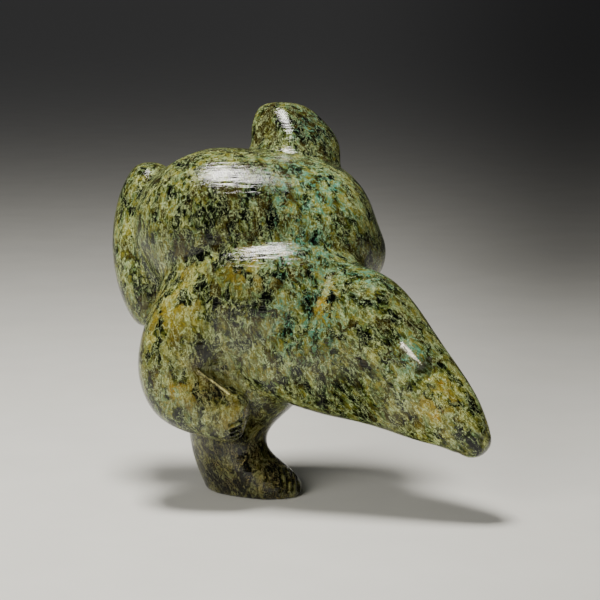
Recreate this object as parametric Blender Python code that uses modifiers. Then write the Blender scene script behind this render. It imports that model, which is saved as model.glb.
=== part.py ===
"""Carved stone bear that balances on one forefoot, with its head stretched down and its hind legs in the air.

Metres, +Z up. The origin is the middle of the flat sole that it stands on. The head points to +X and a little
to -Y, the rump lies to -X, and the raised hind foot is the highest point.
"""
import math

import bmesh
import bpy
import numpy as np
from mathutils import Matrix, Vector
from mathutils.bvhtree import BVHTree

# Driving sizes, in metres: the carving's height, and the mesh size that its forms are joined at
HEIGHT = 0.250
GRAIN = 0.0016

# About how many faces the finished solid keeps
TRIANGLES = 9400

# The figure's free form is given in hundredths of its height.
SHARE = HEIGHT / 100

RING_SIDES = 16
CAGE_LEVELS = 2
SOFTENING_PASSES = 12
EVENING_PASSES = 4
SOFTENING = 0.5

# A form is a row of stations. Each station is x, y, z, then half the height towards the form's face and half the
# width across it. FULLNESS is 2 for an ellipse, more for a boxy section and less for one with a ridge. NARROWING
# makes the side at the face that much narrower, and the side away from it that much wider.
TORSO_FACE = (0, 0, 1)
TORSO = [
    (-32.0, 8.0, 66.0, 4.0, 5.0),
    (-29.5, 8.0, 66.3, 9.5, 10.0),
    (-25.5, 8.0, 67.0, 14.6, 15.0),
    (-20.0, 7.5, 67.3, 19.0, 18.5),
    (-12.0, 7.0, 67.3, 22.0, 20.5),
    (-2.0, 7.0, 67.0, 21.3, 21.5),
    (8.0, 7.0, 66.4, 20.5, 21.0),
    (16.0, 7.5, 65.4, 20.2, 20.0),
    (21.5, 8.3, 63.0, 16.2, 17.6),
    (26.0, 8.5, 61.0, 11.0, 14.5),
    (30.2, 9.0, 59.6, 6.8, 10.0),
    (33.0, 9.0, 59.0, 3.2, 5.0),
]

FAR_SHOULDER_FACE = (0.0, 1.0, 0.0)
FAR_SHOULDER = [
    (-3.0, 2.0, 28.0, 12.0, 12.0),
    (2.0, 6.0, 38.0, 13.5, 13.0),
    (9.0, 11.0, 49.0, 14.5, 13.5),
    (15.0, 14.0, 58.0, 13.0, 12.5),
    (19.0, 15.5, 65.0, 9.5, 9.0),
    (21.0, 16.0, 69.0, 5.0, 5.0),
]

SHOULDERS_FACE = (0, 0, 1)
SHOULDERS = [
    (-24.5, -2.0, 45.5, 5.0, 6.0),
    (-20.0, -3.0, 48.5, 12.0, 11.5),
    (-11.0, -3.8, 49.6, 17.8, 16.2),
    (1.0, -4.5, 50.0, 20.6, 18.2),
    (11.0, -5.2, 49.0, 20.4, 18.2),
    (20.0, -5.8, 47.0, 18.0, 16.8),
    (28.0, -5.5, 46.0, 12.5, 12.5),
]

CHEST_FACE = (0.0, -1.0, 0.0)
CHEST = [
    (-9.0, -3.0, 49.0, 11.5, 11.0),
    (-6.5, -4.0, 43.0, 13.6, 12.5),
    (-3.0, -4.2, 36.0, 13.8, 12.5),
    (0.5, -3.6, 29.0, 12.6, 11.5),
    (2.0, -3.0, 23.5, 8.5, 7.5),
]

HEAD_FACE = (0.36, -0.31, 0.88)
HEAD_AND_NECK = [
    (-7.0, 0.0, 46.0, 9.0, 10.0),
    (0.5, -3.5, 44.5, 14.0, 16.5),
    (9.0, -6.8, 43.6, 17.0, 17.6),
    (17.2, -10.2, 43.2, 18.8, 16.6),
    (26.8, -15.0, 41.8, 20.9, 14.3),
    (36.7, -20.5, 33.8, 13.8, 11.6),
    (46.2, -25.5, 27.2, 10.1, 8.6),
    (50.8, -28.0, 23.7, 7.1, 6.8),
    (54.0, -29.8, 19.6, 4.4, 5.2),
    (56.6, -31.0, 17.4, 3.2, 3.2),
]

LIFTED_FORELEG_FACE = (0.0, -1.0, 0.0)
LIFTED_FORELEG = [
    (-5.5, -4.5, 54.0, 8.0, 8.5),
    (-11.0, -7.0, 51.0, 11.0, 11.0),
    (-16.5, -8.8, 45.0, 12.0, 12.0),
    (-19.5, -10.0, 38.5, 11.5, 10.8),
    (-20.6, -11.4, 33.0, 10.5, 10.2),
    (-19.0, -13.0, 28.5, 9.6, 9.6),
    (-14.2, -15.0, 26.6, 8.4, 8.4),
    (-9.6, -16.5, 24.6, 6.8, 7.4),
    (-5.8, -17.4, 23.2, 5.8, 6.9),
    (-1.9, -17.8, 22.6, 3.8, 5.4),
]

TOE_DIRECTION = (0.86, -0.51, 0.0)
STANDING_FORELEG = [
    (-0.8, 0.0, -4.0, 12.4, 8.2),
    (-0.8, 0.0, -1.0, 13.4, 8.8),
    (-1.2, 0.0, 1.5, 14.0, 9.2),
    (-2.4, 0.0, 4.2, 14.0, 9.2),
    (-4.4, 0.0, 7.1, 12.7, 9.2),
    (-7.0, 0.0, 10.0, 10.1, 9.2),
    (-8.0, 0.0, 13.0, 9.6, 9.2),
    (-7.7, -0.2, 16.5, 10.0, 10.2),
    (-6.0, -0.5, 20.5, 12.3, 12.0),
    (-3.0, -1.0, 26.0, 15.4, 14.0),
    (-1.0, -2.0, 33.0, 16.5, 16.0),
    (1.0, -2.0, 42.0, 16.0, 16.5),
]

BENT_HIND_LEG_FACE = (-1.0, 0.0, 0.0)
BENT_HIND_LEG = [
    (-28.6, 17.5, 84.2, 3.4, 4.6),
    (-28.4, 17.8, 81.5, 5.6, 8.0),
    (-28.7, 17.6, 77.5, 7.5, 10.4),
    (-29.2, 17.2, 72.0, 8.6, 11.8),
    (-29.4, 16.0, 65.5, 9.3, 12.0),
    (-29.2, 14.0, 59.5, 9.3, 11.2),
    (-28.8, 11.8, 54.0, 8.7, 10.0),
    (-28.6, 10.0, 49.0, 7.2, 8.8),
    (-28.4, 8.8, 45.0, 5.4, 7.2),
    (-28.4, 8.2, 41.5, 3.0, 4.2),
]

RAISED_HIND_LEG_FACE = (0.0, -1.0, 0.0)
RAISED_HIND_LEG = [
    (9.2, 13.0, 77.0, 12.0, 12.4),
    (9.6, 15.0, 84.0, 11.3, 12.0),
    (9.8, 16.5, 88.5, 10.8, 12.1),
    (8.8, 17.8, 92.0, 10.0, 11.2),
    (7.6, 18.8, 95.0, 8.6, 9.6),
    (6.8, 19.6, 97.5, 6.8, 7.8),
    (5.6, 20.0, 99.8, 4.4, 5.0),
]

# Each form's face, fullness, narrowing, stations, and whether its sections stay level.
FORMS = {
    "torso": (TORSO_FACE, 2.1, 0.0, TORSO, False),
    "far_shoulder": (FAR_SHOULDER_FACE, 2.0, 0.0, FAR_SHOULDER, False),
    "shoulders": (SHOULDERS_FACE, 2.1, 0.0, SHOULDERS, False),
    "chest": (CHEST_FACE, 2.1, 0.0, CHEST, False),
    "head_and_neck": (HEAD_FACE, 2.3, 0.28, HEAD_AND_NECK, False),
    "lifted_foreleg": (LIFTED_FORELEG_FACE, 2.4, 0.0, LIFTED_FORELEG, False),
    "standing_foreleg": (TOE_DIRECTION, 2.2, 0.0, STANDING_FORELEG, True),
    "bent_hind_leg": (BENT_HIND_LEG_FACE, 2.0, 0.0, BENT_HIND_LEG, True),
    "raised_hind_leg": (RAISED_HIND_LEG_FACE, 1.45, 0.0, RAISED_HIND_LEG, True),
}

# Carved marks. A place on the head is how far along its stations, then the share of its half height there.
# A cut is its half width and depth in hundredths of the height, and one that stands proud has a negative depth.
EYE = (5.36, 0.68)
EYE_SOCKET_CUT = (3.7, 0.9)
EYEBALL_CUT = (1.76, -0.9)
BROW = ((4.8, 0.60), (5.2, 0.62))
BROW_CUT = (2.2, -0.6)
NOSTRIL = (8.35, 0.45)
NOSTRIL_CUT = (1.2, 0.5)
NOSE_PAD = ((8.2, 0.7), (8.3, 1.0))
NOSE_PAD_CUT = (0.9, 0.3)
MOUTH = ((7.98, -1.0), (7.95, -0.8), (7.75, -0.4), (7.3, -0.1))
MOUTH_CUT = (0.8, 0.5)

# The toes' grooves fan out round the front of the standing foot, at these heights.
TOE_MIDDLE = (-1.5, 0.0)
TOE_SPACING = 1.1
TOE_FAN = 6.6
TOE_GROOVES = (-2, -1, 0, 1)
TOE_HEIGHTS = (7.0, 5.6, 4.0, 2.2, 0.2)
TOE_CUT = (0.75, 0.55)

# The lifted paw's grooves run along it, each at a share of its half width, and rise towards the toe tips.
FINGER_REACH = (7.9, 8.3, 8.65, 9.0)
FINGER_PLACES = (0.0, -0.24, -0.46, -0.68)
FINGER_RISE = 0.25
FINGER_CUT = (0.8, 0.42)
FOREARM_CREST = ((-14.2, -19.0, 35.0), (-10.4, -19.0, 32.0), (-6.8, -19.0, 29.2))
CREST_CUT = (1.0, -0.4)
ABOVE_CREST = (1.0, 0.0, 1.2)
ABOVE_CREST_CUT = (1.4, 0.6)

# How much smaller the subdivided section is than the ring of points that it is made from
ROUNDED = (2 + math.cos(math.tau / RING_SIDES)) / 3


def clear_scene():
    """Leaves no object behind."""
    for old in list(bpy.data.objects):
        bpy.data.objects.remove(old)


def evaluated_mesh(thing):
    """A copy of the object's mesh with its modifiers carried out."""
    bpy.context.view_layer.update()
    graph = bpy.context.evaluated_depsgraph_get()
    return bpy.data.meshes.new_from_object(thing.evaluated_get(graph))


def add_object(name, mesh, collection):
    """A new object in the collection."""
    thing = bpy.data.objects.new(name, mesh)
    collection.objects.link(thing)
    return thing


def ring_place(centres, number, face, deep, wide, level):
    """The matrix that lays a unit circle across the path, or level, with its Y axis turned to the form's face."""
    ahead = centres[min(number + 1, len(centres) - 1)]
    behind = centres[max(number - 1, 0)]
    along = (ahead - behind).normalized()
    if level:
        along = Vector((0, 0, math.copysign(1, along.z)))
    towards = (face - face.dot(along) * along).normalized()
    across = towards.cross(along)
    turn = Matrix((across * wide / ROUNDED, towards * deep / ROUNDED, along)).transposed()
    return Matrix.Translation(centres[number]) @ turn.to_4x4()


def shaped(ring, fullness, narrowing):
    """Squares or ridges a unit circle's points, and narrows the side at the face."""
    for vert in ring:
        across, towards = (
            math.copysign(abs(value) ** (2 / fullness), value) for value in vert.co.xy
        )
        vert.co.xy = across * (1 - narrowing * towards), towards


def limb(name, face, fullness, narrowing, stations, level, collection):
    """One rounded form: sections set across a path, bridged into a cage and subdivided."""
    centres = [Vector(station[:3]) * SHARE for station in stations]
    cage = bmesh.new()
    rings = []
    for number, station in enumerate(stations):
        deep, wide = (size * SHARE for size in station[3:])
        made = bmesh.ops.create_circle(
            cage, cap_ends=number in (0, len(stations) - 1), segments=RING_SIDES, radius=1
        )
        shaped(made["verts"], fullness, narrowing)
        place = ring_place(centres, number, Vector(face), deep, wide, level)
        bmesh.ops.transform(cage, matrix=place, verts=made["verts"])
        ring = set(made["verts"])
        rings.append([edge for edge in cage.edges if set(edge.verts) <= ring])
    for ring, following in zip(rings, rings[1:]):
        bmesh.ops.bridge_loops(cage, edges=ring + following)
    bmesh.ops.recalc_face_normals(cage, faces=cage.faces)
    mesh = bpy.data.meshes.new(name)
    cage.to_mesh(mesh)
    cage.free()
    form = add_object(name, mesh, collection)
    rounding = form.modifiers.new("rounding", "SUBSURF")
    rounding.levels = rounding.render_levels = CAGE_LEVELS
    return form


def merged(forms, collection):
    """One skin over all the forms, with the creases where they meet softened as a carver rubs them down.

    The second skin evens out the folds that the first one keeps in the deepest creases.
    """
    together = bmesh.new()
    for form in forms:
        together.from_mesh(evaluated_mesh(form))
        bpy.data.objects.remove(form)
    mesh = bpy.data.meshes.new("bear")
    together.to_mesh(mesh)
    together.free()
    bear = add_object("bear", mesh, collection)
    for passes in (SOFTENING_PASSES, EVENING_PASSES):
        skin = bear.modifiers.new("one skin", "REMESH")
        skin.mode = "VOXEL"
        skin.voxel_size = GRAIN
        soften = bear.modifiers.new("rubbed down", "SMOOTH")
        soften.factor = SOFTENING
        soften.iterations = passes
    bear.data = evaluated_mesh(bear)
    bear.modifiers.clear()
    return bear


def station_at(stations, place):
    """The centre and half sizes at a place between two stations: 2.5 is midway from the third to the fourth."""
    number = min(int(place), len(stations) - 2)
    part = place - number
    here, following = stations[number], stations[number + 1]
    mixed = [(1 - part) * a + part * b for a, b in zip(here, following)]
    along = (Vector(following[:3]) - Vector(here[:3])).normalized()
    return Vector(mixed[:3]) * SHARE, mixed[3] * SHARE, mixed[4] * SHARE, along


def on_skin(skin, inside, outwards):
    """The outermost point of the stone over a point inside it."""
    start = inside + outwards.normalized() * HEIGHT
    found = skin.ray_cast(start, -outwards)
    return found[0] if found[0] else inside


def head_point(skin, place, up, side):
    """A point on the near (-1) or far (1) side of the head, at a share of its height there."""
    centre, deep, _, along = station_at(HEAD_AND_NECK, place)
    face = Vector(HEAD_FACE)
    towards = (face - face.dot(along) * along).normalized()
    across = towards.cross(along)
    if abs(up) >= 1:
        return on_skin(skin, centre, towards * up)
    return on_skin(skin, centre + towards * deep * up, across * side)


def press(bear, path, width, depth):
    """Sinks a smooth groove along the path, or raises a bead."""
    count = len(bear.data.vertices)
    points = np.empty(count * 3)
    bear.data.vertices.foreach_get("co", points)
    points = points.reshape(-1, 3)
    normals = np.empty(count * 3)
    bear.data.vertex_normals.foreach_get("vector", normals)
    normals = normals.reshape(-1, 3)
    nearest = np.full(count, np.inf)
    for start, end in zip(path, path[1:] or path):
        start, end = np.array(start), np.array(end)
        span = end - start
        share = np.clip((points - start) @ span / max(span @ span, 1e-12), 0, 1)
        gap = np.linalg.norm(points - (start + share[:, None] * span), axis=1)
        nearest = np.minimum(nearest, gap)
    falloff = np.clip(1 - (nearest / (width * SHARE)) ** 2, 0, 1) ** 2
    points -= normals * (falloff * depth * SHARE)[:, None]
    bear.data.vertices.foreach_set("co", points.ravel())
    bear.data.update()


def skin_of(bear):
    """The stone's surface, to lay marks on."""
    return BVHTree.FromPolygons(
        [vert.co for vert in bear.data.vertices], [face.vertices for face in bear.data.polygons]
    )


def carve_face(bear):
    """Eyes in their sockets under brows, nostrils, and the line of the mouth."""
    skin = skin_of(bear)
    for side in (-1, 1):
        eye = head_point(skin, *EYE, side)
        brow = [head_point(skin, *place, side) for place in BROW]
        nostril = head_point(skin, *NOSTRIL, side)
        mouth = [head_point(skin, *place, side) for place in MOUTH]
        nose_pad = [head_point(skin, *place, side) for place in NOSE_PAD]
        press(bear, [eye], *EYE_SOCKET_CUT)
        press(bear, [eye], *EYEBALL_CUT)
        press(bear, brow, *BROW_CUT)
        press(bear, [nostril], *NOSTRIL_CUT)
        press(bear, mouth, *MOUTH_CUT)
        press(bear, nose_pad, *NOSE_PAD_CUT)


def carve_toes(bear):
    """Grooves between the toes of the forefoot that stands."""
    skin = skin_of(bear)
    ahead = Vector(TOE_DIRECTION).normalized()
    beside = Vector((-ahead.y, ahead.x, 0))
    for number in TOE_GROOVES:
        aside = beside * (number * TOE_SPACING)
        path = []
        for height in TOE_HEIGHTS:
            inside = Vector((*TOE_MIDDLE, height)) + aside
            path.append(on_skin(skin, inside * SHARE, ahead + aside / TOE_FAN))
        press(bear, path, *TOE_CUT)


def carve_lifted_paw(bear):
    """The crest along the top of the forearm that is held up, and the grooves between its toes."""
    skin = skin_of(bear)
    outwards = Vector((0, -1, 0))
    crest = [on_skin(skin, Vector(point) * SHARE, outwards) for point in FOREARM_CREST]
    above = [point + Vector(ABOVE_CREST) * SHARE for point in crest]
    press(bear, above, *ABOVE_CREST_CUT)
    press(bear, crest, *CREST_CUT)
    for place in FINGER_PLACES:
        path = []
        for reach in FINGER_REACH:
            centre, _, wide, _ = station_at(LIFTED_FORELEG, reach)
            rise = wide * (place + FINGER_RISE * (reach - FINGER_REACH[0]))
            path.append(on_skin(skin, centre + Vector((0, 0, rise)), outwards))
        press(bear, path, *FINGER_CUT)


def thin_out(bear):
    """Fewer, larger faces where the stone is smooth."""
    faces = sum(len(face.vertices) - 2 for face in bear.data.polygons)
    fewer = bear.modifiers.new("fewer faces", "DECIMATE")
    fewer.ratio = min(1, TRIANGLES / faces)
    bear.data = evaluated_mesh(bear)
    bear.modifiers.clear()


def cut_sole(bear):
    """Cuts the foot flat where it stands."""
    stone = bmesh.new()
    stone.from_mesh(bear.data)
    everything = stone.verts[:] + stone.edges[:] + stone.faces[:]
    cut = bmesh.ops.bisect_plane(
        stone, geom=everything, plane_co=(0, 0, 0), plane_no=(0, 0, 1), clear_inner=True, dist=1e-6
    )
    rim = [piece for piece in cut["geom_cut"] if isinstance(piece, bmesh.types.BMEdge)]
    bmesh.ops.contextual_create(stone, geom=rim)
    bmesh.ops.recalc_face_normals(stone, faces=stone.faces)
    stone.to_mesh(bear.data)
    stone.free()


def stone_finish():
    """Polished green serpentine."""
    finish = bpy.data.materials.new("serpentine")
    finish.use_nodes = True
    shader = finish.node_tree.nodes["Principled BSDF"]
    shader.inputs["Base Color"].default_value = (0.09, 0.12, 0.06, 1)
    shader.inputs["Roughness"].default_value = 0.22
    shader.inputs["Metallic"].default_value = 0.0
    return finish


def main():
    clear_scene()
    carving = bpy.data.collections.new("bear carving")
    bpy.context.scene.collection.children.link(carving)
    forms = [limb(name, *shape, carving) for name, shape in FORMS.items()]
    bear = merged(forms, carving)
    carve_face(bear)
    carve_toes(bear)
    carve_lifted_paw(bear)
    thin_out(bear)
    cut_sole(bear)
    bear.data.shade_smooth()
    bear.data.materials.append(stone_finish())


main()
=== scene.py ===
"""Looks of the carved stone bear: polished green serpentine, on a pale floor in soft studio light."""
import math

import bmesh
import bpy
import numpy as np
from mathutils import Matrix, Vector
from mathutils.bvhtree import BVHTree


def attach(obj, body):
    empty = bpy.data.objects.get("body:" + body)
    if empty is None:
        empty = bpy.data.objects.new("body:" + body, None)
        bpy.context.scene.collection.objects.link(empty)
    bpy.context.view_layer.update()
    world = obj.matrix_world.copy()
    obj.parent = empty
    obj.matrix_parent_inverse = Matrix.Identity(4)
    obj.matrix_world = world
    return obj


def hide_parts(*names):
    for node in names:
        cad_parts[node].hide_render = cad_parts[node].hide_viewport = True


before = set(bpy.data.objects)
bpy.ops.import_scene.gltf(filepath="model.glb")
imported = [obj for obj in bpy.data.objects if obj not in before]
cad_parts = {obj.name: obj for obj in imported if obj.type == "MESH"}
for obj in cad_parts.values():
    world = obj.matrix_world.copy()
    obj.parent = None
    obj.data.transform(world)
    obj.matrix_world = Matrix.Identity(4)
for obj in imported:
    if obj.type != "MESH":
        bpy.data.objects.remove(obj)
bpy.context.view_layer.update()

# The photograph's view: the camera looks level along +Y and a little down.
PHOTO_SIDE = 600
VIEW_DOWN = math.radians(9)
VIEW_DISTANCE = 1.3
VIEW_AIM = Vector((0.0270, 0.0, 0.1254))
PIXEL = 0.6416e-3
SENSOR = 36

VIEW_AHEAD = Vector((0, math.cos(VIEW_DOWN), -math.sin(VIEW_DOWN)))
VIEW_RIGHT = Vector((1, 0, 0))
VIEW_UP = VIEW_RIGHT.cross(VIEW_AHEAD)
VIEW_FROM = VIEW_AIM - VIEW_AHEAD * VIEW_DISTANCE

# The polished skin: its mesh size, and how long it is rubbed down
SKIN_GRAIN = 0.0017
SKIN_PASSES = 9
SKIN_RUB = 0.5

# Carved marks on the side that faces the camera, as pixels of the photograph. A cut is its half width and its
# depth in metres, and one that stands proud has a negative depth.
EYE = ((424.0, 368.5),)
EYE_SOCKET_CUT = (0.0072, 0.0020)
EYEBALL_CUT = (0.0040, -0.0017)
EYE_RIM = ((429.5, 360.0), (432.0, 368.0), (428.5, 377.0))
EYE_RIM_CUT = (0.0024, 0.0016)
BROW = ((404.0, 347.0), (411.0, 353.0), (421.0, 363.0))
BROW_CUT = (0.0046, -0.0021)
NOSTRILS = (
    ((477.5, 434.5), (480.0, 436.5), (482.5, 439.5)),
    ((480.8, 441.5), (482.8, 445.5)),
)
NOSTRIL_CUT = (0.0018, 0.0014)
NOSE_PAD = ((486.6, 426.6), (487.7, 431.5), (490.0, 435.8))
NOSE_PAD_CUT = (0.0018, 0.0007)
MOUTH = ((464.7, 451.5), (460.6, 447.2), (456.3, 438.5))
MOUTH_CUT = (0.0016, 0.0014)
TOES = (
    ((279.5, 467.0), (281.5, 479.0), (281.0, 490.0)),
    ((285.0, 468.0), (288.0, 480.0), (287.5, 491.0)),
    ((290.0, 470.0), (293.5, 482.0), (293.0, 491.0)),
    ((294.0, 473.0), (298.0, 483.0), (298.5, 490.0)),
)
TOE_CUT = (0.0019, 0.0020)
FINGERS = (
    ((230.0, 425.0), (240.0, 421.5), (248.0, 416.5)),
    ((231.0, 430.5), (240.0, 427.0), (247.5, 422.0)),
    ((231.5, 435.0), (239.0, 432.0), (246.0, 427.5)),
    ((232.0, 438.5), (238.0, 437.0), (243.0, 433.5)),
)
FINGER_CUT = (0.0016, 0.0017)
KNUCKLE = ((232.0, 399.0), (240.0, 396.0))
KNUCKLE_CUT = (0.0062, -0.0014)
PAW_EDGE = ((247.0, 396.0), (252.0, 408.0), (251.0, 424.0), (244.0, 437.0))
PAW_EDGE_CUT = (0.0026, 0.0016)
CREST = ((199.0, 371.5), (214.0, 382.5), (229.0, 394.0))
CREST_CUT = (0.0022, -0.0015)
FUR = (
    ((243.0, 372.0), (262.0, 393.0)),
    ((247.0, 369.0), (270.0, 392.0)),
    ((252.0, 368.0), (277.0, 391.0)),
    ((257.0, 368.0), (282.0, 388.0)),
    ((240.0, 376.0), (255.0, 396.0)),
)
FUR_CUT = (0.0013, 0.0006)

# The head's middle, and the direction across it
HEAD_MIDDLE = Vector((0.1025, -0.0565, 0.0775))
HEAD_ACROSS = Vector((0.466, 0.885, 0)).normalized()

# Grooves painted dark, as painted shade in them. The reach of each colour is in pixels, also at the forearm's
# crest, with its painted highlight, and at the eye, with its painted shade.
SHADED_GROOVES = (EYE_RIM, MOUTH, *NOSTRILS, *TOES, *FINGERS, PAW_EDGE)
GROOVE_SHADE_REACH = (0.4, 2.4)
CREST_HIGHLIGHT_REACH = (0.1, 1.5)
EYE_SHADE_REACH = (3.0, 9.5)

# The brow's painted highlight is a row of spots that runs down to the eye, each smaller than the last.
BROW_HIGHLIGHT_SPOTS = 11
BROW_HIGHLIGHT_START = (403.5, 346.5)
BROW_HIGHLIGHT_STEP = 1.8
BROW_HIGHLIGHT_INNER = (1.5, 0.13)
BROW_HIGHLIGHT_OUTER = (4.2, 0.31)
PAINTED_BROW_HIGHLIGHT = tuple(
    (
        (BROW_HIGHLIGHT_START[0] + BROW_HIGHLIGHT_STEP * step, BROW_HIGHLIGHT_START[1] + BROW_HIGHLIGHT_STEP * step),
        BROW_HIGHLIGHT_INNER[0] - BROW_HIGHLIGHT_INNER[1] * step,
        BROW_HIGHLIGHT_OUTER[0] - BROW_HIGHLIGHT_OUTER[1] * step,
    )
    for step in range(BROW_HIGHLIGHT_SPOTS)
)

# Where the fine marks lie, the mesh is divided this many times.
FINE_REACH = 0.0032
FINE_ROUNDS = 2

FLOOR_RADIUS = 45

# The stone's grain runs nearly upright in the body and leans over along the neck. Its mottles are longer
# along it. The two meet at a wandering line.
BODY_TILT = math.radians(8)
NECK_TILT = math.radians(38)
NECK_START = 0.048
NECK_WANDER = 0.05
GRAIN_STRETCH = 0.52

# How fine each part of the stone's pattern is: the larger the number, the finer
DRIFT_SCALE = 110
WANDER_SCALE = 90
RAGGED_SCALE = 420
CELL_SCALE = 190
BLOT_SCALE = 145
WARMTH_SCALE = 110
PATCH_SCALE = 330
FEATHER_SCALE = 370
TINT_SCALE = 100
TEAL_SCALE = 130
THREAD_SCALE = 520
STREAK_SCALE = 330
HAIR_SCALE = 230
GRIT_SCALE = 900
RIPPLE_SCALE = 420

# How far the pattern is stirred and frayed, and how deep the polish ripples, in metres
STIR = 0.008
FRAY = 0.006
FINE_DEPTH = 0.00016
RIPPLE_DEPTH = 0.00045
STONE_IOR = 1.52

# Studio light: the softboxes' warm colour, and the dim room at its level and overhead
WARM_LIGHT = (1.0, 0.965, 0.91)
ROOM_LEVEL = (0.016, 0.016, 0.018, 1)
ROOM_OVERHEAD = (0.06, 0.06, 0.063, 1)


def photo_ray(pixel):
    """The direction from the camera through a pixel of the photograph."""
    half = PHOTO_SIDE / 2
    aside = VIEW_RIGHT * (pixel[0] - half) + VIEW_UP * (half - pixel[1])
    return (VIEW_AHEAD * VIEW_DISTANCE + aside * PIXEL).normalized()


def make_camera():
    """The camera at the photograph's angle, with its frame."""
    data = bpy.data.cameras.new("photo_camera")
    data.sensor_width = SENSOR
    data.lens = SENSOR * VIEW_DISTANCE / (PHOTO_SIDE * PIXEL)
    data.clip_end = 2 * FLOOR_RADIUS
    camera = bpy.data.objects.new("photo_camera", data)
    bpy.context.scene.collection.objects.link(camera)
    camera.location = VIEW_FROM
    camera.rotation_euler = VIEW_AHEAD.to_track_quat("-Z", "Y").to_euler()
    bpy.context.scene.camera = camera


def evaluated_mesh(piece):
    """A copy of the piece's mesh with its modifiers carried out."""
    bpy.context.view_layer.update()
    graph = bpy.context.evaluated_depsgraph_get()
    return bpy.data.meshes.new_from_object(piece.evaluated_get(graph))


def add_piece(name, mesh):
    """A new object in the scene."""
    piece = bpy.data.objects.new(name, mesh)
    bpy.context.scene.collection.objects.link(piece)
    return piece


def polished_skin(node):
    """The solid's form as one even, rubbed-down skin."""
    stone = bmesh.new()
    stone.from_mesh(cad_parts[node].data)
    bmesh.ops.remove_doubles(stone, verts=stone.verts, dist=1e-6)
    mesh = bpy.data.meshes.new("polished_bear")
    stone.to_mesh(mesh)
    stone.free()
    bear = add_piece("polished_bear", mesh)
    skin = bear.modifiers.new("even skin", "REMESH")
    skin.mode = "VOXEL"
    skin.voxel_size = SKIN_GRAIN
    rub = bear.modifiers.new("rubbed down", "SMOOTH")
    rub.factor = SKIN_RUB
    rub.iterations = SKIN_PASSES
    bear.data = evaluated_mesh(bear)
    bear.modifiers.clear()
    return bear


def skin_tree(bear):
    """The stone's surface, to lay marks on."""
    return BVHTree.FromPolygons(
        [vert.co for vert in bear.data.vertices], [face.vertices for face in bear.data.polygons]
    )


def on_skin(tree, path):
    """The points of the stone that show at these pixels of the photograph."""
    found = [tree.ray_cast(VIEW_FROM, photo_ray(pixel))[0] for pixel in path]
    return [point for point in found if point]


def distances(points, path):
    """How far each point is from the path."""
    nearest = np.full(len(points), np.inf)
    for start, end in zip(path, path[1:] or path):
        start, end = np.array(start), np.array(end)
        span = end - start
        share = np.clip((points - start) @ span / max(span @ span, 1e-12), 0, 1)
        gap = np.linalg.norm(points - (start + share[:, None] * span), axis=1)
        nearest = np.minimum(nearest, gap)
    return nearest


def vertex_rows(bear, what, key):
    """The mesh's vertex places or normals, one row each."""
    rows = np.empty(len(bear.data.vertices) * 3)
    getattr(bear.data, what).foreach_get(key, rows)
    return rows.reshape(-1, 3)


def refine(bear, paths):
    """Divides the faces near the paths, so that fine marks hold their shape."""
    for _ in range(FINE_ROUNDS):
        points = vertex_rows(bear, "vertices", "co")
        near = np.zeros(len(points), bool)
        for path in paths:
            near |= distances(points, path) < FINE_REACH
        stone = bmesh.new()
        stone.from_mesh(bear.data)
        stone.verts.ensure_lookup_table()
        edges = [edge for edge in stone.edges if near[edge.verts[0].index] and near[edge.verts[1].index]]
        bmesh.ops.subdivide_edges(stone, edges=edges, cuts=1, use_grid_fill=True)
        stone.to_mesh(bear.data)
        stone.free()


def press(bear, path, width, depth):
    """Sinks a smooth groove along the path, or raises a bead."""
    points = vertex_rows(bear, "vertices", "co")
    normals = vertex_rows(bear, "vertex_normals", "vector")
    falloff = np.clip(1 - (distances(points, path) / width) ** 2, 0, 1) ** 2
    points -= normals * (falloff * depth)[:, None]
    bear.data.vertices.foreach_set("co", points.ravel())
    bear.data.update()


def far_side(tree, path):
    """The same marks on the far side of the head."""
    twins = [point - HEAD_ACROSS * 2 * (point - HEAD_MIDDLE).dot(HEAD_ACROSS) for point in path]
    return [tree.find_nearest(twin)[0] for twin in twins]


def carve_marks(bear):
    """The eye, brow, nose, mouth, toes and paw, each pressed into the fine skin."""
    paired = [
        (EYE, EYE_SOCKET_CUT),
        (EYE, EYEBALL_CUT),
        (EYE_RIM, EYE_RIM_CUT),
        (BROW, BROW_CUT),
        (MOUTH, MOUTH_CUT),
        *((path, NOSTRIL_CUT) for path in NOSTRILS),
    ]
    single = [
        (NOSE_PAD, NOSE_PAD_CUT),
        *((path, TOE_CUT) for path in TOES),
        *((path, FINGER_CUT) for path in FINGERS),
        *((path, FUR_CUT) for path in FUR),
        (KNUCKLE, KNUCKLE_CUT),
        (PAW_EDGE, PAW_EDGE_CUT),
        (CREST, CREST_CUT),
    ]
    tree = skin_tree(bear)
    placed = [(on_skin(tree, path), cut) for path, cut in paired + single]
    placed += [(far_side(tree, path), cut) for path, cut in placed[: len(paired)]]
    refine(bear, [path for path, _ in placed])
    for path, cut in placed:
        press(bear, path, *cut)


def linear(*shown):
    """A colour's light from its 0 to 255 screen values."""
    return tuple((value / 255) ** 2.2 for value in shown) + (1,)


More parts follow.
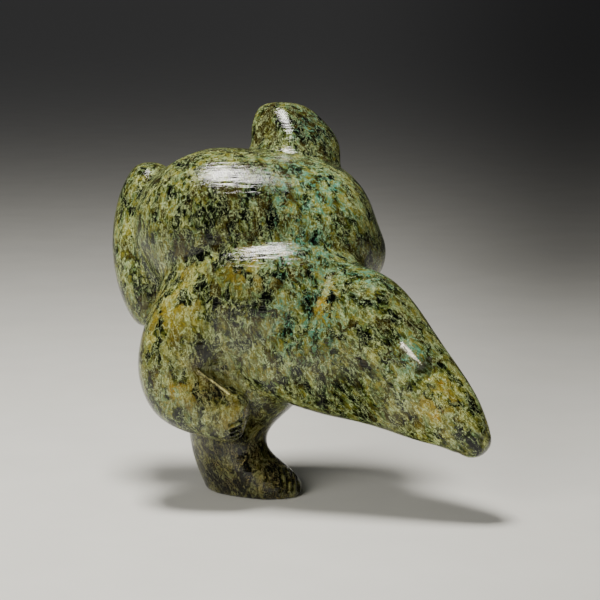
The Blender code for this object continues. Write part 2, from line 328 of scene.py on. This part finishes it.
class Finish:
    """A material's nodes, built from the texture coordinates to the shader."""

    def __init__(self, name):
        self.material = bpy.data.materials.new(name)
        self.material.use_nodes = True
        self.nodes = self.material.node_tree.nodes
        self.links = self.material.node_tree.links
        self.shader = self.nodes["Principled BSDF"]
        self.place = self.add("ShaderNodeTexCoord").outputs["Object"]

    def add(self, kind, **settings):
        node = self.nodes.new(kind)
        for key, value in settings.items():
            setattr(node, key, value)
        return node

    def put(self, socket, value):
        if isinstance(value, bpy.types.NodeSocket):
            self.links.new(value, socket)
        else:
            socket.default_value = value

    def drawn_out(self, vector, stretch):
        node = self.add("ShaderNodeMapping")
        self.put(node.inputs["Vector"], vector)
        node.inputs["Scale"].default_value = stretch
        return node.outputs["Vector"]

    def leaning(self, vector, tilt):
        node = self.add("ShaderNodeVectorRotate", rotation_type="Y_AXIS")
        self.put(node.inputs["Vector"], vector)
        node.inputs["Angle"].default_value = tilt
        return node.outputs["Vector"]

    def noise(self, vector, scale, detail=2, roughness=0.5, colour=False):
        node = self.add("ShaderNodeTexNoise")
        self.put(node.inputs["Vector"], vector)
        node.inputs["Scale"].default_value = scale
        node.inputs["Detail"].default_value = detail
        node.inputs["Roughness"].default_value = roughness
        return node.outputs["Color" if colour else "Fac"]

    def cells(self, vector, scale, feature, output):
        node = self.add("ShaderNodeTexVoronoi", feature=feature)
        self.put(node.inputs["Vector"], vector)
        node.inputs["Scale"].default_value = scale
        return node.outputs[output]

    def shifted(self, vector, colour, amount):
        centred = self.add("ShaderNodeVectorMath", operation="SUBTRACT")
        self.put(centred.inputs[0], colour)
        centred.inputs[1].default_value = (0.5, 0.5, 0.5)
        moved = self.add("ShaderNodeVectorMath", operation="MULTIPLY_ADD")
        self.put(moved.inputs[0], centred.outputs["Vector"])
        moved.inputs[1].default_value = (amount, amount, amount)
        self.put(moved.inputs[2], vector)
        return moved.outputs["Vector"]

    def sums(self, operation, first, second):
        node = self.add("ShaderNodeMath", operation=operation)
        self.put(node.inputs[0], first)
        self.put(node.inputs[1], second)
        return node.outputs["Value"]

    def between(self, value, low, high, start=0.0, end=1.0):
        node = self.add("ShaderNodeMapRange", interpolation_type="SMOOTHSTEP")
        self.put(node.inputs["Value"], value)
        for key, number in (("From Min", low), ("From Max", high), ("To Min", start), ("To Max", end)):
            self.put(node.inputs[key], number)
        return node.outputs["Result"]

    def axis(self, name):
        parts = self.add("ShaderNodeSeparateXYZ")
        self.put(parts.inputs["Vector"], self.place)
        return parts.outputs[name]

    def ramp(self, value, stops):
        node = self.add("ShaderNodeValToRGB")
        self.put(node.inputs["Fac"], value)
        band = node.color_ramp
        while len(band.elements) < len(stops):
            band.elements.new(1.0)
        for element, (position, colour) in zip(band.elements, stops):
            element.position = position
            element.color = colour
        return node.outputs["Color"]

    def mix(self, share, first, second, blend="MIX"):
        node = self.add("ShaderNodeMix", data_type="RGBA", blend_type=blend)
        self.put(node.inputs["Factor"], share)
        colours = [socket for socket in node.inputs if socket.type == "RGBA"]
        self.put(colours[0], first)
        self.put(colours[1], second)
        return next(socket for socket in node.outputs if socket.type == "RGBA")

    def bump(self, height, depth, normal=None):
        node = self.add("ShaderNodeBump")
        node.inputs["Strength"].default_value = 1.0
        node.inputs["Distance"].default_value = depth
        self.put(node.inputs["Height"], height)
        if normal:
            self.put(node.inputs["Normal"], normal)
        return node.outputs["Normal"]

    def near(self, spot, inner, outer, most=1.0):
        """The full share near the spot, falling to 0 between the inner and outer distance."""
        node = self.add("ShaderNodeVectorMath", operation="DISTANCE")
        self.put(node.inputs[0], self.place)
        node.inputs[1].default_value = spot
        return self.between(node.outputs["Value"], inner, outer, most, 0.0)

    def along(self, start, end):
        """How far the place is from the straight line between two points."""
        from_start = self.add("ShaderNodeVectorMath", operation="SUBTRACT")
        self.put(from_start.inputs[0], self.place)
        from_start.inputs[1].default_value = start
        share = self.add("ShaderNodeVectorMath", operation="DOT_PRODUCT")
        self.put(share.inputs[0], from_start.outputs["Vector"])
        share.inputs[1].default_value = (end - start) / (end - start).length_squared
        held = self.add("ShaderNodeClamp")
        self.put(held.inputs["Value"], share.outputs["Value"])
        away = self.add("ShaderNodeVectorMath", operation="MULTIPLY_ADD")
        self.put(away.inputs[0], held.outputs["Result"])
        away.inputs[1].default_value = start - end
        self.put(away.inputs[2], from_start.outputs["Vector"])
        gap = self.add("ShaderNodeVectorMath", operation="LENGTH")
        self.put(gap.inputs[0], away.outputs["Vector"])
        return gap.outputs["Value"]


BLACK_GREEN = linear(7, 10, 4)
DEEP_OLIVE = linear(34, 40, 14)
OLIVE = linear(68, 73, 27)
GOLD_OLIVE = linear(100, 96, 38)
MOSS = linear(84, 98, 56)
GREY_GREEN = linear(94, 115, 80)
PALE_THREAD = linear(168, 182, 132)
PALE_TEAL = linear(106, 154, 130)
TEAL = linear(58, 108, 90)
OCHRE = linear(120, 108, 40)
YELLOW = linear(136, 140, 78)
GOLD = linear(128, 118, 50)
ORANGE = linear(140, 104, 16)
BROWN = linear(94, 84, 52)
UMBER = linear(22, 20, 11)
TAN = linear(150, 138, 92)
# Colour of the eye sockets' painted shade
EYE_SOCKET_SHADE = linear(20, 27, 13)
# Cream of the forearm crest's painted highlight
CREST_HIGHLIGHT_CREAM = linear(196, 190, 128)
# White of the brow's painted highlight
BROW_HIGHLIGHT_WHITE = linear(250, 246, 226)
FLOOR_DIM = linear(203, 203, 197)
FLOOR_PALE = linear(207, 207, 201)
UNLIT = linear(0, 0, 0)

# Areas of the stone: a pixel of the photograph at the middle, and the inner and outer reach in pixels
TEAL_AREAS = (
    ((305, 190), 20, 85),
    ((300, 255), 15, 60),
    ((305, 320), 15, 55),
    ((362, 272), 8, 50),
    ((410, 356), 4, 34),
    ((310, 125), 5, 42),
)
OCHRE_AREAS = (
    ((165, 300), 15, 70),
    ((330, 300), 10, 30),
    ((434, 408), 8, 40),
    ((180, 390), 8, 40),
    ((250, 268), 8, 40),
    ((238, 418), 6, 32),
    ((486, 436), 2, 12),
)
# Areas painted darker: darker stone in some, and painted shade in others, such as the standing leg under the
# body, the crevices below the torso and the crease beside the lifted paw
DARK_AND_SHADED_AREAS = (
    ((236, 214), 25, 75),
    ((190, 235), 5, 50),
    ((315, 130), 5, 40),
    ((272, 122), 8, 40),
    ((235, 290), 5, 50),
    ((240, 480), 30, 60),
    ((258, 420), 3, 15),
)
PALE_AREAS = (
    ((435, 408), 25, 80),
    ((128, 245), 15, 55),
    ((335, 205), 15, 70),
)
BROWN_AREAS = (
    ((240, 480), 40, 110),
    ((215, 385), 5, 45),
)
UMBER_STREAKS = (
    ((345, 385), 15, 70),
    ((400, 425), 5, 45),
)
GOLDEN_AREAS = (
    ((165, 320), 20, 80),
    ((230, 410), 8, 45),
    ((440, 400), 10, 35),
)
NOSE_SPOTS = (((486, 440), 3, 9),)
ORANGE_SPOTS = (
    ((445, 386), 2, 9),
    ((437, 414), 2, 11),
    ((176, 390), 2, 10),
    ((322, 305), 2, 10),
    ((488, 424), 2, 8),
)
DULL_AREAS = (
    ((350, 277), 12, 42),
    ((249, 428), 8, 30),
    ((264, 452), 8, 34),
    ((300, 398), 8, 40),
    ((350, 408), 15, 60),
    ((420, 438), 5, 40),
)
# Dark spots of the stone, and painted shade in the nostril
DARK_SPOTS = (
    ((479, 438), 1, 4.5),
    ((332, 298), 2.5, 6.5),
    ((312, 242), 2.5, 6.5),
)


def strongest(finish, tree, areas):
    """The areas joined: 1 where any of them is at its middle."""
    joined = 0.0
    for pixel, inner, outer in areas:
        spot = on_skin(tree, [pixel])[0]
        share = finish.near(spot, inner * PIXEL, outer * PIXEL)
        joined = finish.sums("MAXIMUM", share, joined)
    return joined


def line_share(finish, lines, reach):
    """1 on any of the lines, falling to 0 over the reach, in pixels."""
    nearest = 1.0
    for points in lines:
        for start, end in zip(points, points[1:]):
            nearest = finish.sums("MINIMUM", finish.along(start, end), nearest)
    return finish.between(nearest, reach[0] * PIXEL, reach[1] * PIXEL, 1.0, 0.0)


def serpentine(tree):
    """Polished green serpentine: dark and olive blots along the grain, under grey-green feathers."""
    stone = Finish("serpentine")
    drift = stone.noise(stone.place, DRIFT_SCALE, 3, 0.6, colour=True)
    wander = stone.sums("MULTIPLY", stone.noise(stone.place, WANDER_SCALE, 5, 0.7), NECK_WANDER)
    across = stone.sums("ADD", stone.axis("X"), wander)
    on_neck = stone.sums("GREATER_THAN", across, NECK_START + NECK_WANDER / 2)
    leaning = stone.mix(on_neck, stone.leaning(stone.place, BODY_TILT), stone.leaning(stone.place, NECK_TILT))
    grained = stone.drawn_out(leaning, (1, 1, GRAIN_STRETCH))
    stirred = stone.shifted(grained, drift, STIR)

    ragged = stone.shifted(grained, stone.noise(stirred, RAGGED_SCALE, 3, 0.6, colour=True), FRAY)
    cell_edge = stone.cells(ragged, CELL_SCALE, "DISTANCE_TO_EDGE", "Distance")
    cell_tone = stone.sums("SUBTRACT", stone.cells(ragged, CELL_SCALE, "F1", "Color"), 0.5)

    # Darker stone mixed with painted shade, from the areas above.
    dark = strongest(stone, tree, DARK_AND_SHADED_AREAS)
    blots = stone.noise(stirred, BLOT_SCALE, 4, 0.6)
    blots = stone.sums("ADD", blots, stone.sums("MULTIPLY", cell_tone, 0.09))
    blots = stone.sums("SUBTRACT", blots, stone.sums("MULTIPLY", dark, 0.075))
    base = stone.ramp(
        blots,
        [
            (0.41, BLACK_GREEN),
            (0.475, DEEP_OLIVE),
            (0.53, OLIVE),
            (0.61, GOLD_OLIVE),
        ],
    )
    warmth = stone.between(stone.noise(stirred, WARMTH_SCALE, 2, 0.5), 0.48, 0.60)
    ochre_share = stone.sums("MAXIMUM", strongest(stone, tree, OCHRE_AREAS), 0.18)
    ochre_share = stone.sums("MULTIPLY", stone.sums("MULTIPLY", ochre_share, warmth), 0.8)
    base = stone.mix(ochre_share, base, OCHRE)
    patchy = stone.between(stone.noise(stirred, PATCH_SCALE, 4, 0.7), 0.44, 0.60, 0.0, 0.7)
    orange_share = stone.sums("MULTIPLY", strongest(stone, tree, ORANGE_SPOTS), patchy)
    base = stone.mix(orange_share, base, ORANGE)

    fine = stone.noise(stirred, FEATHER_SCALE, 8, 0.8)
    thick = stone.sums("MULTIPLY", stone.sums("SUBTRACT", blots, 0.5), 0.35)
    feathers = stone.sums("ADD", fine, thick)
    tint = stone.noise(stirred, TINT_SCALE, 2, 0.5)
    feather_colour = stone.ramp(tint, [(0.35, MOSS), (0.50, GREY_GREEN), (0.64, YELLOW)])
    golden = stone.sums("MULTIPLY", strongest(stone, tree, GOLDEN_AREAS), 0.45)
    feather_colour = stone.mix(golden, feather_colour, GOLD)
    teal_share = stone.between(stone.noise(stirred, TEAL_SCALE, 3, 0.6), 0.34, 0.49)
    teal_share = stone.sums("MULTIPLY", teal_share, strongest(stone, tree, TEAL_AREAS))
    feather_colour = stone.mix(teal_share, feather_colour, TEAL)
    base = stone.mix(stone.between(feathers, 0.512, 0.59), base, feather_colour)

    threads = stone.between(stone.noise(stirred, THREAD_SCALE, 6, 0.8), 0.58, 0.68, 0.0, 0.8)
    web = stone.between(cell_edge, 0.0, 0.075, 0.6, 0.0)
    web = stone.sums("MULTIPLY", web, stone.between(feathers, 0.42, 0.54))
    threads = stone.sums("MAXIMUM", threads, web)
    thread_colour = stone.mix(stone.sums("MULTIPLY", teal_share, 0.85), PALE_THREAD, PALE_TEAL)
    base = stone.mix(threads, base, thread_colour)

    brown = strongest(stone, tree, BROWN_AREAS)
    brown_colour = stone.ramp(feathers, [(0.46, UMBER), (0.57, BROWN)])
    base = stone.mix(stone.sums("MULTIPLY", brown, 0.6), base, brown_colour)

    streaked = stone.drawn_out(grained, (1, 1, 0.4))
    streaks = stone.between(stone.noise(streaked, STREAK_SCALE, 3, 0.6), 0.48, 0.60, 0.0, 0.75)
    streaks = stone.sums("MULTIPLY", streaks, strongest(stone, tree, UMBER_STREAKS))
    base = stone.mix(streaks, base, UMBER)

    hairs = stone.sums("ABSOLUTE", stone.sums("SUBTRACT", stone.noise(stirred, HAIR_SCALE, 4, 0.6), 0.5), 0.0)
    hairs = stone.between(hairs, 0.002, 0.014, 0.7, 0.0)
    hairs = stone.sums("MULTIPLY", hairs, stone.between(tint, 0.42, 0.56))
    base = stone.mix(hairs, base, stone.mix(brown, PALE_THREAD, TAN))

    # Dark spots of the stone, and painted shade in the nostril.
    dark_spots_and_nostril_shade = strongest(stone, tree, DARK_SPOTS)
    dark_spots_and_nostril_shade = stone.sums("MULTIPLY", dark_spots_and_nostril_shade, stone.between(feathers, 0.62, 0.5, 0.2, 1.0))
    base = stone.mix(dark_spots_and_nostril_shade, base, BLACK_GREEN)
    nose = strongest(stone, tree, NOSE_SPOTS)
    nose = stone.sums("MULTIPLY", nose, stone.between(feathers, 0.42, 0.56, 0.2, 0.8))
    base = stone.mix(nose, base, YELLOW)
    # Painted shade in the eye sockets, on both sides of the head.
    eyes = on_skin(tree, EYE)
    eyes += far_side(tree, eyes)
    for eye in eyes:
        base = stone.mix(stone.near(eye, *(pixels * PIXEL for pixels in EYE_SHADE_REACH), 0.8), base, EYE_SOCKET_SHADE)
    # Painted shade in the grooves of the eye rim, mouth, nostrils, toes, fingers and paw edge.
    lines = [on_skin(tree, path) for path in SHADED_GROOVES]
    groove_shade = stone.sums("MULTIPLY", line_share(stone, lines, GROOVE_SHADE_REACH), 0.55)
    base = stone.mix(groove_shade, base, BLACK_GREEN)
    # Painted highlight along the forearm's crest, broken up by the feathers.
    broken = stone.between(feathers, 0.40, 0.56, 0.35, 0.9)
    crest_highlight = stone.sums("MULTIPLY", line_share(stone, [on_skin(tree, CREST)], CREST_HIGHLIGHT_REACH), broken)
    base = stone.mix(crest_highlight, base, CREST_HIGHLIGHT_CREAM)
    # Painted highlight on the brow above the eye, white spots broken up by the feathers.
    patchy_highlight = stone.between(feathers, 0.44, 0.54, 0.1, 1.0)
    brow_highlight = stone.sums("MULTIPLY", strongest(stone, tree, PAINTED_BROW_HIGHLIGHT), patchy_highlight)
    base = stone.mix(brow_highlight, base, BROW_HIGHLIGHT_WHITE)

    grit = stone.between(stone.noise(stirred, GRIT_SCALE, 3, 0.6), 0.3, 0.7, 0.60, 1.40)
    pale = stone.sums("MULTIPLY", strongest(stone, tree, PALE_AREAS), 0.28)
    shade = stone.sums("SUBTRACT", stone.sums("ADD", pale, 0.86), stone.sums("MULTIPLY", dark, 0.2))
    base = stone.mix(1.0, base, stone.sums("MULTIPLY", grit, shade), blend="MULTIPLY")

    shader = stone.shader
    stone.put(shader.inputs["Base Color"], base)
    dull = strongest(stone, tree, DULL_AREAS)
    rough = stone.between(feathers, 0.4, 0.65, 0.06, 0.10)
    stone.put(shader.inputs["Roughness"], stone.sums("ADD", rough, stone.sums("MULTIPLY", dull, 0.12)))
    stone.put(shader.inputs["Specular IOR Level"], stone.between(dull, 0.0, 1.0, 0.42, 0.0))
    shader.inputs["IOR"].default_value = STONE_IOR
    ripple = stone.noise(stone.drawn_out(stone.place, (0.12, 1, 1)), RIPPLE_SCALE, 2, 0.6)
    normal = stone.bump(fine, FINE_DEPTH)
    normal = stone.bump(ripple, RIPPLE_DEPTH, normal)
    stone.put(shader.inputs["Normal"], normal)
    return stone.material


def floor_finish():
    """Plain pale floor, slightly uneven in tone, with painted shade that darkens it towards the right and the
    back, where the light falls off.
    """
    floor = Finish("pale_floor")
    tone = floor.noise(floor.place, 14, 3, 0.6)
    colour = floor.ramp(tone, [(0.35, FLOOR_DIM), (0.65, FLOOR_PALE)])
    # Painted shade: the floor darkens towards the right and the back.
    aside = floor.sums("DIVIDE", floor.axis("X"), floor.sums("ADD", floor.axis("Y"), VIEW_DISTANCE))
    painted_falloff = floor.between(aside, 0.0, 0.15)
    painted_falloff = floor.sums("MULTIPLY", painted_falloff, floor.between(floor.axis("Y"), -0.1, 1.2, 0.1, 0.68))
    colour = floor.mix(painted_falloff, colour, UNLIT)
    floor.put(floor.shader.inputs["Base Color"], colour)
    floor.shader.inputs["Roughness"].default_value = 0.55
    return floor.material


def lay_floor():
    """A wide round floor under the sole."""
    disc = bmesh.new()
    bmesh.ops.create_circle(disc, cap_ends=True, segments=96, radius=FLOOR_RADIUS)
    mesh = bpy.data.meshes.new("floor")
    disc.to_mesh(mesh)
    disc.free()
    floor = add_piece("floor", mesh)
    floor.data.materials.append(floor_finish())


def softbox(name, place, aim, size, power, glossy=True):
    """A soft studio light. One that isn't glossy fills the shadows and leaves no reflection."""
    data = bpy.data.lights.new(name, "AREA")
    data.shape = "RECTANGLE"
    data.size, data.size_y = size
    data.energy = power
    data.color = WARM_LIGHT
    light = bpy.data.objects.new(name, data)
    bpy.context.scene.collection.objects.link(light)
    light.location = place
    light.rotation_euler = (Vector(aim) - Vector(place)).to_track_quat("-Z", "Y").to_euler()
    light.visible_glossy = glossy


def light_studio():
    """A softbox overhead, a fill from the front, and a dim room, a little paler overhead."""
    softbox("overhead_softbox", (-0.15, -0.045, 1.25), (0, -0.02, 0.2), (0.36, 0.31), 28)
    softbox("front_fill", (-0.9, -1.5, 0.8), (0, 0, 0.12), (1.2, 0.8), 38, glossy=False)
    world = bpy.data.worlds.new("studio")
    bpy.context.scene.world = world
    world.use_nodes = True
    nodes = world.node_tree.nodes
    links = world.node_tree.links
    direction = nodes.new("ShaderNodeTexCoord")
    parts = nodes.new("ShaderNodeSeparateXYZ")
    band = nodes.new("ShaderNodeValToRGB")
    links.new(direction.outputs["Generated"], parts.inputs["Vector"])
    links.new(parts.outputs["Z"], band.inputs["Fac"])
    band.color_ramp.elements[0].position = 0.0
    band.color_ramp.elements[0].color = ROOM_LEVEL
    band.color_ramp.elements[1].position = 0.8
    band.color_ramp.elements[1].color = ROOM_OVERHEAD
    links.new(band.outputs["Color"], nodes["Background"].inputs["Color"])


make_camera()
bear = polished_skin("bear")
carve_marks(bear)
bear.data.shade_smooth()
bear.data.materials.clear()
bear.data.materials.append(serpentine(skin_tree(bear)))
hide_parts("bear")
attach(bear, "root")
lay_floor()
light_studio()
